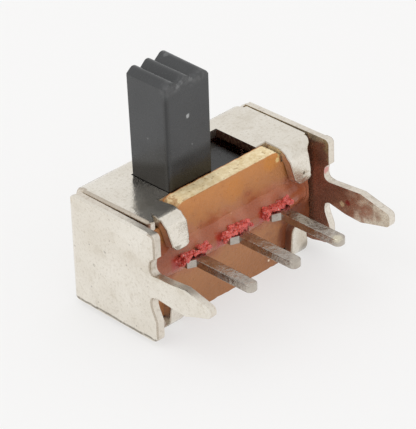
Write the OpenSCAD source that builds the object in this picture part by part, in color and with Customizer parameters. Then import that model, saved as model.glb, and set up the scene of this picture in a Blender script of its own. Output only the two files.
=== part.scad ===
// Right-angle slide switch: one pole, two positions.
// A folded steel frame is crimped round a laminate board. Three flat terminals pass through
// the board, and a moulded slide carries a clip that bridges two of them at a time.
// X is the way the knob slides, -Y faces the circuit board, and Z points up along the knob.
// The origin is on the underside, below the middle of the slot.

/* [Frame] */
// Length of the frame over its end plates, at the back
frame_l = 8.2; // [8.1:0.1:9]
// Height of the frame over its two flanges
frame_h = 4.3; // [4.1:0.1:5]
// Thickness of the folded sheet
sheet_t = 0.3; // [0.2:0.05:0.35]
// Inside radius of every fold
fold_r = 0.15; // [0.1:0.05:0.2]
// Depth of the frame behind the slot
back_strip = 0.95; // [0.8:0.05:1.3]
// Gap between a flange and an end plate, at the back
flange_gap = 0.05; // [0.03:0.01:0.1]
// How much each side of a flange draws in towards the front
flange_taper = 0.08; // [0:0.01:0.2]
// Round of the flanges' front corners
flange_corner_r = 0.14; // [0.05:0.01:0.16]
// Width of the slit beside each end of a flange's fold
fold_slit = 0.05; // [0.03:0.01:0.1]

/* [End plates] */
// How far the end plates reach in front of the board
standoff = 0.8; // [0.5:0.05:1.2]
// Height of the end plates' lower edge above the underside
plate_lift = 0.2; // [0.05:0.05:0.35]
// Angle by which each end plate opens towards the front
plate_splay = 1; // [0.2:0.1:1.4]
// Round of the end plates' front corners
plate_corner_r = 0.18; // [0.05:0.01:0.25]
// Depth of the notches above and below a lug
notch_d = 0.22; // [0.15:0.01:0.3]
// Height of the notch above a lug
upper_notch_h = 0.65; // [0.5:0.05:0.8]
// Height of the notch below a lug
lower_notch_h = 0.85; // [0.5:0.05:0.9]

/* [Mounting lugs] */
// How far a lug reaches in front of the end plate
lug_reach = 2.68; // [2.2:0.02:3.5]
// Height of a lug at its root
lug_root_h = 0.8; // [0.6:0.05:1]
// Height of a lug at its widest
lug_h = 1; // [0.8:0.05:1.2]
// Distance from the root to the widest place
lug_wide_at = 1.4; // [1:0.1:1.8]
// Height of a lug's round tip
lug_tip_h = 0.38; // [0.3:0.02:0.6]

/* [Crimp tabs] */
// Width of a tab at its root
tab_w = 0.92; // [0.75:0.01:1]
// Width of a tab at its round tip
tab_tip_w = 0.7; // [0.5:0.05:0.75]
// How far a tab reaches over the front of the board
tab_drop = 1.35; // [1:0.05:1.5]
// Width of the shoulder outside a tab
tab_shoulder = 0.32; // [0.25:0.01:0.35]
// How far the tabs' tips lean along the slide
tab_lean_d = 0.2; // [0:0.05:0.25]

/* [Board] */
// Thickness of the laminate
board_t = 0.7; // [0.5:0.05:0.9]
// Round of the corners of the raised middle
board_corner_r = 0.3; // [0.1:0.05:0.35]
// Gap between the board and the folded sheet
board_fit = 0.02; // [0.01:0.01:0.05]

/* [Terminals] */
// Distance between two terminals
pitch = 2; // [1.8:0.05:2.1]
// Height of the terminals and lugs above the middle of the frame
row_rise = 0.2; // [0:0.05:0.3]
// Width of the flat blade through the board
blade_w = 1.1; // [0.8:0.05:1.2]
// Thickness of the terminals
blade_t = 0.28; // [0.2:0.02:0.34]
// How far the blade reaches into the housing
blade_depth = 1.6; // [1.3:0.05:1.65]
// Gap between the blade's shoulders and the circuit board
shoulder_gap = 0.1; // [0.05:0.05:0.3]
// Width of a pin
pin_w = 0.45; // [0.3:0.05:0.6]
// How far a pin reaches past the end plates
pin_reach = 2.45; // [2:0.05:3.5]
// Gap all round a blade in its slot
blade_fit = 0.01; // [0.01:0.01:0.03]

/* [Slide] */
// Width of the knob along its travel
knob_w = 1.9; // [1.5:0.05:1.95]
// Depth of the knob
knob_d = 1.7; // [1.6:0.05:2]
// Height of the knob above the top flange, without its ribs
knob_h = 3.68; // [2:0.1:6]
// Number of ribs across the top of the knob
rib_count = 3; // [2:1:4]
// Height of the ribs
rib_h = 0.24; // [0.15:0.01:0.3]
// Round of the ribs' crests
rib_r = 0.1; // [0.04:0.01:0.12]
// Gap between the knob and the slot
slot_gap = 0.05; // [0.03:0.01:0.1]
// Gap between the carriage and the housing
slide_gap = 0.07; // [0.03:0.01:0.1]
// Gap between the carriage and a blade
groove_gap = 0.1; // [0.05:0.01:0.12]

/* [Contact clip] */
// Thickness of the spring strip
clip_t = 0.12; // [0.08:0.01:0.15]
// Length of the clip past each terminal's middle
clip_wipe = 0.45; // [0.3:0.05:0.5]
// Inside radius of the clip's fold
clip_r = 0.3; // [0.26:0.01:0.34]
// Gap between the clip's jaws and a blade
clip_touch = 0.02; // [0.01:0.01:0.03]
// Width of the slit between the clip's two pairs of jaws
clip_slit = 0.4; // [0.2:0.1:0.8]
// Gap round the clip in the carriage
clip_fit = 0.02; // [0.01:0.01:0.04]

/* [Sealing varnish] */
// Length of a bead of varnish
bead_l = 1.3; // [1:0.1:1.5]
// Thickness of a bead
bead_t = 0.34; // [0.28:0.02:0.4]
// Number of lumps in a bead
bead_lumps = 6; // [5:1:8]

/* [Hidden] */
$fn = 64;

steel = "#dcd6cb";
laminate = "#b87e50";
tin = "#a8a29c";
black_plastic = "#3f4244";
silvered_bronze = "#c9b48a";
red_varnish = "#a82a26";

overshoot = 1;                              // how far a cutter passes the material
fold_ro = fold_r + sheet_t;                 // outside radius of a fold
travel = pitch;                             // one step of the knob
slot_l = knob_w + travel + 2 * slot_gap;
slot_back_y = knob_d / 2 + slot_gap;
back_y = slot_back_y + back_strip;
row_z = frame_h / 2 + row_rise;
board_back_y = -slot_back_y;
board_front_y = board_back_y - board_t;
seat_y = board_front_y - standoff;          // the plane that meets the circuit board

fold_x = frame_l / 2 - fold_ro;             // where the end plates' folds begin
fold_y = back_y - fold_ro;

// Distance from the middle to an end plate's inner face, at depth y
function plate_in(y) = fold_x + fold_r * cos(plate_splay)
    + (fold_y + fold_r * sin(plate_splay) - y) * tan(plate_splay);

flange_end_x = fold_x - fold_slit;          // end of a flange along its fold
flange_step_y = fold_y - fold_slit;
flange_back_x = plate_in(flange_step_y) - flange_gap;
flange_front_x = flange_back_x - flange_taper;
flange_front_y = board_front_y - fold_r;

tab_x = flange_front_x - tab_shoulder - tab_w / 2;
board_x = plate_in(board_back_y) - board_fit;
raised_x = tab_x - tab_w / 2 - board_fit;   // half the raised middle of the board
ledge_z = fold_ro + board_fit;              // the board's ends stay inside the folds

blade_end_y = board_back_y + blade_depth;
terminal_front_y = seat_y + shoulder_gap;
pin_tip_y = seat_y - pin_reach;

slide_x = -travel / 2;                      // the knob rests at the left end of its slot
carriage_x = plate_in(fold_y) - travel / 2 - slide_gap;
carriage_z0 = sheet_t + slide_gap;
carriage_z1 = frame_h - sheet_t - slide_gap;
carriage_y0 = board_back_y + slide_gap;
carriage_y1 = back_y - sheet_t - slide_gap;
knob_top = frame_h + knob_h;

clip_x = pitch / 2 + clip_wipe;             // half the clip's length
clip_y = blade_end_y + groove_gap;          // where the clip's fold begins
clip_nip_y = (carriage_y0 + clip_y) / 2;    // where the jaws pinch the blades
clip_back_y = clip_y + clip_r + clip_t;

// ---------------------------------------------------------------- shapes used more than once

// What is cut away to round a corner whose material lies towards +x and +y
module corner_waste(r) {
    difference() {
        translate([-r, -r]) square(2 * r);
        translate([r, r]) circle(r);
    }
}

// Puts an outline drawn in Y and Z across the middle, as thick as length along X
module across(length) {
    translate([-length / 2, 0, 0]) rotate([90, 0, 90]) linear_extrude(length) children();
}

// Puts an outline drawn in X and Z at depth y, growing forward by thickness
module facing(y, thickness) {
    translate([0, y, 0]) rotate([90, 0, 0]) linear_extrude(thickness) children();
}

// Repeats the children upside down about the middle of the frame's height
module above_and_below() {
    children();
    translate([0, 0, frame_h]) mirror([0, 0, 1]) children();
}

module left_and_right() {
    children();
    mirror([1, 0, 0]) children();
}

// ---------------------------------------------------------------- frame

// Plan of half the space inside the web and one end plate, with the sheet's faces moved out
// by extra; the plate opens towards the front
module half_inside_plan(extra) {
    run = fold_y - seat_y + lug_reach + overshoot;
    translate([0, fold_y - fold_ro]) square([fold_x, fold_ro + fold_r + extra]);
    translate([fold_x, fold_y]) {
        circle(fold_r + extra);
        rotate(plate_splay) translate([-fold_x, -run]) square([fold_x + fold_r + extra, run]);
    }
}

// Plan of half the back web, its fold and one end plate
module half_wrap_plan() {
    difference() {
        half_inside_plan(sheet_t);
        half_inside_plan(0);
    }
}

// A lug: it widens from its root, then tapers to a round tip
module lug_outline() {
    tip_r = lug_tip_h / 2;
    tip_y = seat_y - lug_reach + tip_r;
    translate([0, row_z]) {
        polygon([
            [seat_y + notch_d, lug_root_h / 2], [seat_y, lug_root_h / 2],
            [seat_y - lug_wide_at, lug_h / 2], [tip_y, tip_r],
            [tip_y, -tip_r], [seat_y - lug_wide_at, -lug_h / 2],
            [seat_y, -lug_root_h / 2], [seat_y + notch_d, -lug_root_h / 2],
        ]);
        translate([tip_y, 0]) circle(tip_r);
    }
}

// A notch in the front edge, z0 to z1, with a round bottom
module notch_outline(z0, z1) {
    difference() {
        translate([seat_y - overshoot, z0]) square([overshoot + notch_d, z1 - z0]);
        translate([seat_y + notch_d, z0]) rotate(90) corner_waste(notch_d * 0.9);
        translate([seat_y + notch_d, z1]) rotate(180) corner_waste(notch_d * 0.9);
    }
}

// Side view of what is cut away to round the frame's two back corners
module back_corners_waste(r) {
    translate([back_y, 0]) rotate(90) corner_waste(r);
    translate([back_y, frame_h]) rotate(180) corner_waste(r);
}

// Side view of an end plate and its lug
module end_outline() {
    lug_top = row_z + lug_root_h / 2;
    lug_bottom = row_z - lug_root_h / 2;
    difference() {
        translate([seat_y, plate_lift]) square([back_y - seat_y, frame_h - plate_lift]);
        translate([seat_y, plate_lift]) corner_waste(plate_corner_r);
        translate([seat_y, frame_h]) rotate(-90) corner_waste(plate_corner_r);
        back_corners_waste(fold_ro);
        notch_outline(lug_top, lug_top + upper_notch_h);
        notch_outline(lug_bottom - lower_notch_h, lug_bottom);
    }
    lug_outline();
}

// The back web and the end plates, cut clear where the flanges fold away
module wrap() {
    difference() {
        intersection() {
            linear_extrude(2 * frame_h) left_and_right() half_wrap_plan();
            across(2 * frame_l) end_outline();
        }
        above_and_below() translate([-fold_x, fold_y, frame_h - fold_ro])
            cube([2 * fold_x, fold_ro + overshoot, fold_ro + overshoot]);
    }
}

// Side view of the two flanges and the back web
module channel_section() {
    difference() {
        translate([flange_front_y, 0]) square([back_y - flange_front_y, frame_h]);
        back_corners_waste(fold_ro);
        difference() {
            translate([flange_front_y - overshoot, sheet_t])
                square([back_y - sheet_t - flange_front_y + overshoot, frame_h - 2 * sheet_t]);
            translate([back_y - sheet_t, sheet_t]) rotate(90) corner_waste(fold_r);
            translate([back_y - sheet_t, frame_h - sheet_t]) rotate(180) corner_waste(fold_r);
        }
    }
}

// Plan of half a flange, up to the fold of its crimp tab
module half_flange_plan() {
    tab_in = tab_x - tab_w / 2;
    tab_fold_y = board_front_y + fold_r;
    difference() {
        polygon([
            [0, back_y], [flange_end_x, back_y], [flange_end_x, flange_step_y],
            [flange_back_x, flange_step_y], [flange_front_x, flange_front_y], [0, flange_front_y],
        ]);
        translate([flange_front_x, flange_front_y]) rotate(90) corner_waste(flange_corner_r);
        translate([-overshoot, flange_front_y - overshoot])
            square([tab_in + overshoot, board_back_y - flange_front_y + overshoot]);
        translate([tab_in - overshoot, flange_front_y - overshoot])
            square([tab_w + overshoot, tab_fold_y - flange_front_y + overshoot]);
    }
}

// Front view of a crimp tab, whose tip leans by lean
module tab_outline(lean) {
    tip_r = tab_tip_w / 2;
    tip = [tab_x + lean, frame_h - tab_drop + tip_r];
    root_z = frame_h - fold_ro;
    polygon([
        [tab_x - tab_w / 2, frame_h + overshoot], [tab_x + tab_w / 2, frame_h + overshoot],
        [tab_x + tab_w / 2, root_z], tip + [tip_r, 0], tip - [tip_r, 0],
        [tab_x - tab_w / 2, root_z],
    ]);
    translate(tip) circle(tip_r);
}

// Side view of a crimp tab: a root inside the flange, the fold, and the leg over the board
module tab_profile() {
    root_l = fold_ro + sheet_t;
    difference() {
        translate([board_front_y - sheet_t, frame_h - tab_drop]) square([root_l, tab_drop]);
        translate([board_front_y - sheet_t, frame_h]) rotate(-90) corner_waste(fold_ro);
        difference() {
            translate([board_front_y, frame_h - tab_drop - overshoot])
                square([root_l, tab_drop + overshoot - sheet_t]);
            translate([board_front_y, frame_h - sheet_t]) rotate(-90) corner_waste(fold_r);
        }
    }
}

module crimp_tab(lean) {
    intersection() {
        across(2 * frame_l) tab_profile();
        facing(0, -seat_y) tab_outline(lean);
    }
}

module frame() {
    color(steel) {
        wrap();
        difference() {
            intersection() {
                across(2 * flange_back_x) channel_section();
                linear_extrude(frame_h) left_and_right() half_flange_plan();
            }
            translate([-slot_l / 2, board_back_y - overshoot, frame_h - fold_ro])
                cube([slot_l, slot_back_y - board_back_y + overshoot, fold_ro + overshoot]);
        }
        above_and_below() {
            crimp_tab(tab_lean_d);
            mirror([1, 0, 0]) crimp_tab(-tab_lean_d);
        }
    }
}

// ---------------------------------------------------------------- board and terminals

// Front view of the board: low ends under the tabs, and a raised middle level with the flanges
module board_outline() {
    translate([-board_x, ledge_z]) square([2 * board_x, frame_h - 2 * ledge_z]);
    difference() {
        translate([-raised_x, 0]) square([2 * raised_x, frame_h]);
        for (side = [0, 1]) mirror([side, 0]) {
            translate([-raised_x, 0]) corner_waste(board_corner_r);
            translate([-raised_x, frame_h]) rotate(-90) corner_waste(board_corner_r);
        }
    }
}

module base_board() {
    color(laminate) difference() {
        facing(board_back_y, board_t) board_outline();
        for (i = [-1:1])
            translate([i * pitch - blade_w / 2 - blade_fit, board_front_y - overshoot,
                       row_z - blade_t / 2 - blade_fit])
                cube([blade_w + 2 * blade_fit, board_t + 2 * overshoot, blade_t + 2 * blade_fit]);
    }
}

// One terminal: a wide blade through the board, and a narrow pin with a round tip
module terminal(x) {
    color(tin) translate([x, 0, row_z - blade_t / 2]) linear_extrude(blade_t) {
        translate([-blade_w / 2, terminal_front_y])
            square([blade_w, blade_end_y - terminal_front_y]);
        translate([-pin_w / 2, pin_tip_y + pin_w / 2])
            square([pin_w, terminal_front_y - pin_tip_y]);
        translate([0, pin_tip_y + pin_w / 2]) circle(pin_w / 2);
    }
}

module terminal_left() terminal(-pitch);
module terminal_common() terminal(0);
module terminal_right() terminal(pitch);

// ---------------------------------------------------------------- slide and its contact

// Section of one rib: straight flanks that run into a round crest
module rib_section(w) {
    centre = rib_h - rib_r;
    flank = atan(2 * centre / w) + asin(rib_r / norm([w / 2, centre]));
    meet = [rib_r * sin(flank), centre + rib_r * cos(flank)];
    polygon([[-w / 2, 0], [-meet[0], meet[1]], meet, [w / 2, 0]]);
    translate([0, centre]) circle(rib_r);
}

module knob() {
    rib_w = knob_w / rib_count;
    translate([slide_x - knob_w / 2, -knob_d / 2, carriage_z1 - sheet_t])
        cube([knob_w, knob_d, knob_top - carriage_z1 + sheet_t]);
    for (i = [0:rib_count - 1])
        translate([slide_x - knob_w / 2 + (i + 0.5) * rib_w, 0, knob_top])
            facing(knob_d / 2, knob_d) rib_section(rib_w);
}

// The carriage has a groove that the blades pass along, and a pocket for the clip
module carriage() {
    groove_h = blade_t + 2 * groove_gap;
    pocket_h = 2 * (clip_r + clip_t + clip_fit);
    pocket_l = 2 * (clip_x + clip_fit);
    difference() {
        translate([slide_x - carriage_x, carriage_y0, carriage_z0])
            cube([2 * carriage_x, carriage_y1 - carriage_y0, carriage_z1 - carriage_z0]);
        translate([slide_x - carriage_x - overshoot, carriage_y0 - overshoot, row_z - groove_h / 2])
            cube([2 * (carriage_x + overshoot), clip_y - carriage_y0 + overshoot, groove_h]);
        translate([slide_x - pocket_l / 2, carriage_y0 - overshoot, row_z - pocket_h / 2])
            cube([pocket_l, clip_back_y + clip_fit - carriage_y0 + overshoot, pocket_h]);
    }
}

module slider() {
    color(black_plastic) {
        knob();
        carriage();
    }
}

// Outline of the clip's section grown by extra: jaws that run in to pinch a blade, then flare
// open at the mouth, joined by a round fold at the back
module clip_outline(extra) {
    nip = blade_t / 2 + clip_touch + extra;
    wide = clip_r + extra;
    mouth_y = carriage_y0 + clip_fit;
    polygon([
        [clip_y, wide], [clip_nip_y, nip], [mouth_y, wide],
        [mouth_y, -wide], [clip_nip_y, -nip], [clip_y, -wide],
    ]);
    translate([clip_y, 0]) circle(wide);
}

module contact_clip() {
    color(silvered_bronze) translate([slide_x, 0, row_z]) difference() {
        across(2 * clip_x) clip_outline(clip_t);
        across(2 * clip_x + overshoot) clip_outline(0);
        translate([-clip_slit / 2, -overshoot, -overshoot])
            cube([clip_slit, clip_y + overshoot, 2 * overshoot]);
    }
}

// ---------------------------------------------------------------- sealing varnish

// A lumpy bead in the corner between the board and the upper face of a blade
module bead(x) {
    color(red_varnish) difference() {
        for (i = [0:bead_lumps - 1]) {
            r = bead_t / 2 * (1 + 0.15 * sin(150 * i));
            translate([x + (i / (bead_lumps - 1) - 0.5) * (bead_l - bead_t),
                       board_front_y - bead_t / 3, row_z + blade_t / 3]) sphere(r);
        }
        translate([x - bead_l, board_front_y, 0]) cube([2 * bead_l, board_t, frame_h]);
        translate([x - blade_w / 2, terminal_front_y, row_z - blade_t / 2])
            cube([blade_w, 2 * standoff, blade_t]);
    }
}

module varnish_left() bead(-pitch);
module varnish_common() bead(0);
module varnish_right() bead(pitch);

frame();
base_board();
terminal_left();
terminal_common();
terminal_right();
slider();
contact_clip();
varnish_left();
varnish_common();
varnish_right();
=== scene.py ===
# %% [markdown]
# # A right-angle slide switch
# The object is a miniature slide switch: one folded steel frame, plated and crimped over a
# laminate board, three tinned terminals through the board, a black moulded slide with a ribbed
# knob, and beads of red sealing varnish where the terminals leave the board.
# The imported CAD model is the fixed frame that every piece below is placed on.

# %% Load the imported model
import math

import bmesh
import bpy
from mathutils import Matrix, Vector, noise


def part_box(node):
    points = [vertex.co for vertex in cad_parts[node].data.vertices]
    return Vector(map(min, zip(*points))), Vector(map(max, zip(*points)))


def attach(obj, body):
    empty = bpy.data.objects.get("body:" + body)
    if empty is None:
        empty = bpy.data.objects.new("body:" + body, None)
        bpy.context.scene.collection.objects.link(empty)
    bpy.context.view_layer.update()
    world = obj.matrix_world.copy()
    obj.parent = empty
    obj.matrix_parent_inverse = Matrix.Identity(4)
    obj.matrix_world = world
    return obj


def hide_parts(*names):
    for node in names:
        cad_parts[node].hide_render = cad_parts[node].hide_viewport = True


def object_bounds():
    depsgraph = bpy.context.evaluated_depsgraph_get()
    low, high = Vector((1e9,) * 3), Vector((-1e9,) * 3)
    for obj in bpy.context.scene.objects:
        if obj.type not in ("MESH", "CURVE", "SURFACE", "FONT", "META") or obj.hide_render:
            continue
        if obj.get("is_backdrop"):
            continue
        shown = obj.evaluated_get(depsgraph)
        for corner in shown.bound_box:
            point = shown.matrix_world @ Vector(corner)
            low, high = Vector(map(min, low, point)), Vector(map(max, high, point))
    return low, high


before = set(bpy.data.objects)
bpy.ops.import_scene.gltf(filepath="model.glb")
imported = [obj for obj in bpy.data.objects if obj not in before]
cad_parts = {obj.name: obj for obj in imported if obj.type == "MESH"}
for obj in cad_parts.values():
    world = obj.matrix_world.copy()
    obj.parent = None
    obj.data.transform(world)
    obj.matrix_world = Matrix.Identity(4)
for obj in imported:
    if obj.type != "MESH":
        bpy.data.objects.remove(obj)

cad_low, cad_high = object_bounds()
print("CAD box in mm:", [round(1000 * (b - a), 3) for a, b in zip(cad_low, cad_high)])

# %% [markdown]
# ## Working size
# The real switch is only 8 mm long. Blender's modelling tools weld and round at about a tenth
# of a millimetre, so at true size they would melt it. Each piece is therefore modelled a
# thousand times larger, where one unit is one millimetre, and its mesh is scaled down to metres
# when it is finished. All places are asked from the CAD nodes, never typed in.

# %% Boxes of the CAD nodes, in millimetres
def box_mm(node):
    low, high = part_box(node)
    return low * 1000, high * 1000


frame_low, frame_high = box_mm("frame")
board_low, board_high = box_mm("base_board")
slide_low, slide_high = box_mm("slider")
blade_low, blade_high = box_mm("terminal_common")
print("board from", [round(v, 2) for v in board_low], "to", [round(v, 2) for v in board_high])

aside = {"left": -0.02, "common": -0.06, "right": -0.11}


def terminal_box(name):
    """A terminal's box, moved by the little that the hand press set it aside."""
    low, high = box_mm("terminal_" + name)
    return low + Vector((aside[name], 0, 0)), high + Vector((aside[name], 0, 0))



# %% Helpers for working on one piece at a time
def only(piece):
    """Selects this piece alone and makes it the active one."""
    if bpy.context.object and bpy.context.object.mode != "OBJECT":
        bpy.ops.object.mode_set(mode="OBJECT")
    bpy.ops.object.select_all(action="DESELECT")
    piece.select_set(True)
    bpy.context.view_layer.objects.active = piece


def block(name, low, high):
    """A cube between two corners, as the start of a piece."""
    if bpy.context.object and bpy.context.object.mode != "OBJECT":
        bpy.ops.object.mode_set(mode="OBJECT")
    bpy.ops.object.select_all(action="DESELECT")
    low, high = Vector(low), Vector(high)
    bpy.ops.mesh.primitive_cube_add(size=1, location=(low + high) / 2, scale=high - low)
    piece = bpy.context.object
    piece.name = piece.data.name = name
    bpy.ops.object.transform_apply(location=True, rotation=True, scale=True)
    return piece


def edit(piece, mode="FACE"):
    """Opens this piece in edit mode with nothing selected."""
    only(piece)
    bpy.ops.object.mode_set(mode="EDIT")
    bpy.ops.mesh.select_mode(type=mode)
    bpy.ops.mesh.select_all(action="DESELECT")


def pick(test, kind="faces"):
    """In edit mode, selects just the faces, edges or vertices whose middle passes the test."""
    mesh = bmesh.from_edit_mesh(bpy.context.object.data)
    bpy.ops.mesh.select_all(action="DESELECT")
    count = 0
    for part in getattr(mesh, kind):
        if kind == "faces":
            chosen = test(part.calc_center_median(), part.normal)
        elif kind == "edges":
            a, b = part.verts[0].co, part.verts[1].co
            chosen = test((a + b) / 2, (b - a).normalized())
        else:
            chosen = test(part.co, part.normal)
        if chosen:
            part.select_set(True)
            count += 1
    mesh.select_flush_mode()
    bmesh.update_edit_mesh(bpy.context.object.data)
    return count


def slice_at(point, normal):
    """Cuts the whole piece along a plane and keeps both sides."""
    bpy.ops.mesh.select_all(action="SELECT")
    bpy.ops.mesh.bisect(plane_co=point, plane_no=normal)


def apply_modifier(piece, kind, **settings):
    """Adds a modifier with these settings and applies it at once."""
    only(piece)
    bpy.ops.object.modifier_add(type=kind)
    modifier = piece.modifiers[-1]
    for key, value in settings.items():
        setattr(modifier, key, value)
    bpy.ops.object.modifier_apply(modifier=modifier.name)


def cut_away(piece, cutter):
    """Takes the cutter's shape out of the piece and throws the cutter away."""
    apply_modifier(piece, "BOOLEAN", operation="DIFFERENCE", object=cutter, solver="EXACT")
    bpy.data.objects.remove(cutter)


def done(piece, body, node, slot, *materials):
    """Brings a finished piece to true size and hangs it on its body in place of a CAD node."""
    only(piece)
    piece.data.transform(Matrix.Scale(0.001, 4))
    for material in materials:
        piece.data.materials.append(material)
    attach(piece, body)
    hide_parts(node)
    print(piece.name, "has", len(piece.data.polygons), "faces")


# %% [markdown]
# ## Finishes
# Each finish is a Principled shader whose colour, roughness and bump change over the surface.
# Effects that several finishes share, such as cloudy tone, specks and scratches, are node
# groups that work in millimetres on the object's own coordinates.

# %% Node helpers
def srgb(r, g, b):
    """A colour written as 0 to 255, turned into the linear values that shaders want."""
    def linear(v):
        v /= 255
        return v / 12.92 if v <= 0.04045 else ((v + 0.055) / 1.055) ** 2.4
    return (linear(r), linear(g), linear(b), 1)


def put(tree, kind, sockets=None, **settings):
    """Adds a node. Sockets are values, or other nodes' outputs to link in."""
    node = tree.nodes.new(kind)
    for key, value in settings.items():
        setattr(node, key, value)
    for key, value in (sockets or {}).items():
        if isinstance(value, bpy.types.NodeSocket):
            tree.links.new(value, node.inputs[key])
        else:
            node.inputs[key].default_value = value
    return node


def mix_colour(tree, factor, a, b, blend="MIX"):
    node = put(tree, "ShaderNodeMix", {0: factor, 6: a, 7: b}, data_type="RGBA", blend_type=blend)
    return node.outputs[2]


def spread(tree, value, low, high, to_low=0.0, to_high=1.0):
    """Maps low..high of a value to to_low..to_high, smoothly and held at the ends."""
    node = put(tree, "ShaderNodeMapRange", {0: value, 1: low, 2: high, 3: to_low, 4: to_high},
               interpolation_type="SMOOTHSTEP")
    return node.outputs[0]


def maths(tree, operation, a, b=0.0):
    return put(tree, "ShaderNodeMath", {0: a, 1: b}, operation=operation).outputs[0]


def marked(tree, place, tone, marks):
    """Paints single ragged marks over a tone: (place, radius, strength, colour) each."""
    ragged = put(tree, "ShaderNodeTexNoise", {"Vector": place, "Scale": 16.0}).outputs["Color"]
    shift = put(tree, "ShaderNodeVectorMath", {0: ragged, "Scale": 0.12}, operation="SCALE")
    centred = put(tree, "ShaderNodeVectorMath", {0: shift.outputs[0], 1: (0.06, 0.06, 0.06)},
                  operation="SUBTRACT")
    there = put(tree, "ShaderNodeVectorMath", {0: place, 1: centred.outputs[0]}, operation="ADD")
    for where, radius, strength, colour in marks:
        away = put(tree, "ShaderNodeVectorMath", {0: there.outputs[0], 1: where}, operation="DISTANCE")
        tone = mix_colour(tree, spread(tree, away.outputs["Value"], radius * 0.5, radius, strength, 0.0),
                          tone, colour)
    return tone


def new_group(name, inputs, outputs):
    """An empty node group with named sockets: (name, kind, default) and (name, kind)."""
    group = bpy.data.node_groups.new(name, "ShaderNodeTree")
    for label, kind, default in inputs:
        socket = group.interface.new_socket(label, in_out="INPUT", socket_type="NodeSocket" + kind)
        if default is not None:
            socket.default_value = default
    for label, kind in outputs:
        group.interface.new_socket(label, in_out="OUTPUT", socket_type="NodeSocket" + kind)
    return group, group.nodes.new("NodeGroupInput").outputs, group.nodes.new("NodeGroupOutput").inputs


# %% [markdown]
# ### Shared effects
# Cloudy tone drifts softly between dark and light, as plating and laminate do. Specks are
# scattered dots of dust, pits or paint. Scratches are thin lines that all run roughly one way,
# made by stretching a noise along their direction and keeping only its narrow ridges.

# %% Millimetre coordinates, cloudy tone, specks and scratches
mm_group, entry, leave = new_group("millimetres", [], [("Place", "Vector")])
coords = put(mm_group, "ShaderNodeTexCoord")
scaled = put(mm_group, "ShaderNodeVectorMath", {0: coords.outputs["Object"], "Scale": 1000.0},
             operation="SCALE")
mm_group.links.new(scaled.outputs[0], leave["Place"])

cloud_group, entry, leave = new_group(
    "cloudy_tone",
    [("Place", "Vector", None), ("Size", "Float", 1.0), ("Seed", "Float", 0.0),
     ("Contrast", "Float", 1.0)],
    [("Mask", "Float")])
inverse = maths(cloud_group, "DIVIDE", 1.0, entry["Size"])
cloud = put(cloud_group, "ShaderNodeTexNoise",
            {"Vector": entry["Place"], "W": entry["Seed"], "Scale": inverse, "Detail": 4.0,
             "Roughness": 0.55}, noise_dimensions="4D")
centred = maths(cloud_group, "SUBTRACT", cloud.outputs[0], 0.5)
strong = maths(cloud_group, "MULTIPLY", centred, entry["Contrast"])
lifted = put(cloud_group, "ShaderNodeMath", {0: strong, 1: 0.5}, operation="ADD", use_clamp=True)
cloud_group.links.new(lifted.outputs[0], leave["Mask"])

speck_group, entry, leave = new_group(
    "specks",
    [("Place", "Vector", None), ("Spacing", "Float", 1.0), ("Radius", "Float", 0.1),
     ("Share", "Float", 0.5), ("Seed", "Float", 0.0)],
    [("Mask", "Float")])
wobble = put(speck_group, "ShaderNodeTexNoise", {"Vector": entry["Place"], "Scale": 14.0})
bent = put(speck_group, "ShaderNodeVectorMath",
           {0: wobble.outputs["Color"], "Scale": 0.05}, operation="SCALE")
moved = put(speck_group, "ShaderNodeVectorMath", {0: entry["Place"], 1: bent.outputs[0]},
            operation="ADD")
per_mm = maths(speck_group, "DIVIDE", 1.0, entry["Spacing"])
cells = put(speck_group, "ShaderNodeTexVoronoi",
            {"Vector": moved.outputs[0], "W": entry["Seed"], "Scale": per_mm,
             "Randomness": 1.0}, voronoi_dimensions="4D")
distance_mm = maths(speck_group, "MULTIPLY", cells.outputs["Distance"], entry["Spacing"])
edge_of_dot = maths(speck_group, "MULTIPLY", entry["Radius"], 0.6)
near = put(speck_group, "ShaderNodeMapRange",
           {0: distance_mm, 1: edge_of_dot, 2: entry["Radius"], 3: 1.0, 4: 0.0})
split = put(speck_group, "ShaderNodeSeparateColor", {0: cells.outputs["Color"]})
kept = maths(speck_group, "LESS_THAN", split.outputs[0], entry["Share"])
dots = maths(speck_group, "MULTIPLY", near.outputs[0], kept)
speck_group.links.new(dots, leave["Mask"])

scratch_group, entry, leave = new_group(
    "scratches",
    [("Place", "Vector", None), ("Turn", "Vector", None), ("Density", "Float", 2.0),
     ("Width", "Float", 0.02), ("Seed", "Float", 0.0)],
    [("Mask", "Float")])
turned = put(scratch_group, "ShaderNodeMapping", {"Vector": entry["Place"], "Rotation": entry["Turn"],
             "Scale": (0.25, 3.0, 3.0)})
lines = put(scratch_group, "ShaderNodeTexNoise",
            {"Vector": turned.outputs[0], "W": entry["Seed"], "Scale": entry["Density"],
             "Detail": 2.0}, noise_dimensions="4D")
off_middle = maths(scratch_group, "SUBTRACT", lines.outputs[0], 0.5)
ridge = put(scratch_group, "ShaderNodeMapRange",
            {0: maths(scratch_group, "ABSOLUTE", off_middle), 1: 0.0, 2: entry["Width"],
             3: 1.0, 4: 0.0})
scratch_group.links.new(ridge.outputs[0], leave["Mask"])


def use(tree, group, **sockets):
    """Places a shared effect in a material and returns its first output."""
    node = tree.nodes.new("ShaderNodeGroup")
    node.node_tree = group
    for key, value in sockets.items():
        if isinstance(value, bpy.types.NodeSocket):
            tree.links.new(value, node.inputs[key])
        else:
            node.inputs[key].default_value = value
    return node.outputs[0]


def new_finish(name, **shader_values):
    """A material with a Principled shader; constants go on the shader's own sockets."""
    material = bpy.data.materials.new(name)
    material.use_nodes = True
    tree = material.node_tree
    shader = tree.nodes["Principled BSDF"]
    for key, value in shader_values.items():
        shader.inputs[key.replace("_", " ")].default_value = value
    return material, tree, shader.inputs


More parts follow.
